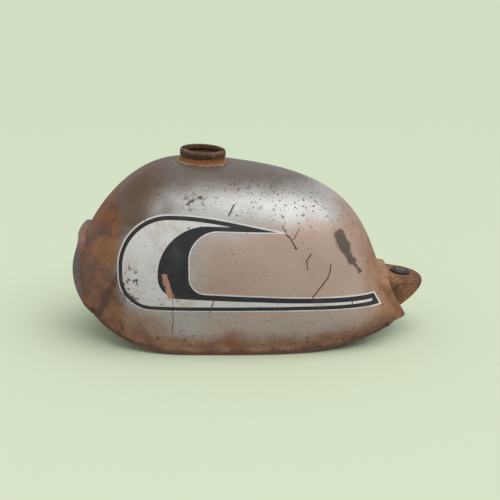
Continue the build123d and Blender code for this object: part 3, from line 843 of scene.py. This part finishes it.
def bead_tree():
    """Geometry Nodes: overlapping weld ripples along a path."""
    tree = bpy.data.node_groups.new("weld_bead", "GeometryNodeTree")
    tree.interface.new_socket("Path", in_out="INPUT", socket_type="NodeSocketGeometry")
    pitch = tree.interface.new_socket("Pitch", in_out="INPUT", socket_type="NodeSocketFloat")
    size = tree.interface.new_socket("Ripple radius", in_out="INPUT", socket_type="NodeSocketFloat")
    tree.interface.new_socket("Bead", in_out="OUTPUT", socket_type="NodeSocketGeometry")
    inputs = tree.nodes.new("NodeGroupInput")
    outputs = tree.nodes.new("NodeGroupOutput")
    path = tree.nodes.new("GeometryNodeMeshToCurve")
    spaced = tree.nodes.new("GeometryNodeResampleCurve")
    spaced.mode = "LENGTH"
    ripple = tree.nodes.new("GeometryNodeMeshIcoSphere")
    ripple.inputs["Subdivisions"].default_value = 2
    place = tree.nodes.new("GeometryNodeInstanceOnPoints")
    jitter = tree.nodes.new("FunctionNodeRandomValue")
    jitter.data_type = "FLOAT"
    jitter.inputs["Seed"].default_value = 7
    jitter.inputs[2].default_value, jitter.inputs[3].default_value = RIPPLE_SIZES
    real = tree.nodes.new("GeometryNodeRealizeInstances")
    smooth = tree.nodes.new("GeometryNodeSetShadeSmooth")
    paint = tree.nodes.new("GeometryNodeSetMaterial")
    paint.inputs["Material"].default_value = WELD
    for start, end in (
        (inputs.outputs["Path"], path.inputs["Mesh"]),
        (path.outputs["Curve"], spaced.inputs["Curve"]),
        (inputs.outputs["Pitch"], spaced.inputs["Length"]),
        (inputs.outputs["Ripple radius"], ripple.inputs["Radius"]),
        (spaced.outputs["Curve"], place.inputs["Points"]),
        (ripple.outputs["Mesh"], place.inputs["Instance"]),
        (jitter.outputs[1], place.inputs["Scale"]),
        (place.outputs["Instances"], real.inputs["Geometry"]),
        (real.outputs["Geometry"], smooth.inputs["Geometry"]),
        (smooth.outputs["Geometry"], paint.inputs["Geometry"]),
        (paint.outputs["Geometry"], outputs.inputs["Bead"]),
    ):
        tree.links.new(start, end)
    return tree, pitch.identifier, size.identifier


def weld_bead(name, points, pitch, radius):
    """Bead of weld along a path of points."""
    tree, pitch_key, size_key = bead_tree()
    mesh = bpy.data.meshes.new(name + "_path")
    mesh.from_pydata(points, [(i, i + 1) for i in range(len(points) - 1)], [])
    path = linked(name + "_path", mesh)
    modifier = path.modifiers.new("bead", "NODES")
    modifier.node_group = tree
    modifier[pitch_key] = pitch
    modifier[size_key] = radius
    made = evaluated_mesh(path)
    bpy.data.objects.remove(path)
    return linked(name, made)


def neck_weld():
    """Ripples round the foot of the filler neck."""
    across = Vector((cos(NECK_LEAN), 0, -sin(NECK_LEAN)))
    axis = Vector((sin(NECK_LEAN), 0, cos(NECK_LEAN)))
    left_right = Vector((0, 1, 0))
    centre = Vector((NECK_X, 0, NECK_Z)) + axis * WELD_RISE
    turns = [2 * pi * i / WELD_STEPS for i in range(WELD_STEPS + 1)]
    points = [centre + across * WELD_R * cos(a) + left_right * WELD_R * sin(a) for a in turns]
    finished(weld_bead("neck_weld", points, RIPPLE_PITCH, RIPPLE_R))


outer_pressing("left", LEFT_DENTS)
outer_pressing("right", RIGHT_DENTS)
stripe("left", LEFT_DENTS)
stripe("right", RIGHT_DENTS)
for node, material, slot in (
    ("tunnel_pan", INNER, "inner_steel"),
    ("filler_neck", NECK_STEEL, "neck_steel"),
    ("rear_bracket", BRACKET_STEEL, "bracket_steel"),
    ("rear_grommet", RUBBER, "grommet_rubber"),
    ("rear_collar", PLATE, "collar_steel"),
    ("front_cup_left", INNER, "inner_steel"),
    ("front_cup_right", INNER, "inner_steel"),
    ("outlet_spigot", NECK_STEEL, "neck_steel"),
):
    smooth_copy(node, material)
neck_weld()


# ---------------------------------------------------------------- floor, light and camera
FLOOR_HALF = 15.0
FLOOR_DROP = 0.2 * MM
FLOOR_SEEN = (0.67, 0.76, 0.56)  # as the camera sees it
FLOOR_LIT = (0.42, 0.43, 0.40)  # as it lights the tank
WORLD_STRENGTH = 0.55
CAMERA_AZIMUTH = radians(0.36)
CAMERA_ELEVATION = radians(18)
CAMERA_DISTANCE = 1.1
CAMERA_TARGET = Vector((0.004, 0, 0.095))
CAMERA_LENS = 72.7
SENSOR_WIDTH = 36
CAMERA_SHIFT = (-0.0089, -0.0060)


def floor():
    """Pale floor that bounces a plain grey onto the tank."""
    bm = bmesh.new()
    bmesh.ops.create_grid(bm, x_segments=1, y_segments=1, size=FLOOR_HALF)
    piece = new_piece("floor", bm)
    piece.location.z = cad_bounds[0][2] - FLOOR_DROP
    f = Finish("pale_floor", 0.9)
    f.shader.inputs["Specular IOR Level"].default_value = 0.0
    seen = f.tree.nodes.new("ShaderNodeLightPath").outputs["Is Camera Ray"]
    f.colour(f.blend(seen, FLOOR_LIT, FLOOR_SEEN))
    piece.data.materials.append(f.material)


def aimed(name, data, place, target):
    """New light or camera at a place, pointed at a target."""
    obj = linked(name, data)
    obj.location = place
    obj.rotation_euler = (Vector(target) - Vector(place)).to_track_quat("-Z", "Y").to_euler()
    return obj


def sun(name, place, strength, spread):
    data = bpy.data.lights.new(name, "SUN")
    data.energy = strength
    data.angle = radians(spread)
    aimed(name, data, place, (0, 0, 0))


def softbox(name, place, target, width, depth, watts):
    data = bpy.data.lights.new(name, "AREA")
    data.shape = "RECTANGLE"
    data.size = width
    data.size_y = depth
    data.energy = watts
    aimed(name, data, place, target)


def studio():
    floor()
    world = bpy.data.worlds.new("studio")
    world.use_nodes = True
    background = world.node_tree.nodes["Background"]
    background.inputs["Color"].default_value = (1, 1, 1, 1)
    background.inputs["Strength"].default_value = WORLD_STRENGTH
    bpy.context.scene.world = world
    sun("key", place=(0.6, -0.5, 1.5), strength=1.45, spread=60)
    softbox("overhead", place=(0.0, -0.6, 1.3), target=(0, 0, 0.1), width=1.6, depth=0.6, watts=1.6)


def camera():
    around = cos(CAMERA_ELEVATION)
    back = Vector((sin(CAMERA_AZIMUTH) * around, -cos(CAMERA_AZIMUTH) * around, sin(CAMERA_ELEVATION)))
    data = bpy.data.cameras.new("camera")
    data.lens = CAMERA_LENS
    data.sensor_width = SENSOR_WIDTH
    data.shift_x, data.shift_y = CAMERA_SHIFT
    place = CAMERA_TARGET + back * CAMERA_DISTANCE
    bpy.context.scene.camera = aimed("camera", data, place, CAMERA_TARGET)


studio()
camera()
bpy.context.scene.view_settings.view_transform = "Standard"
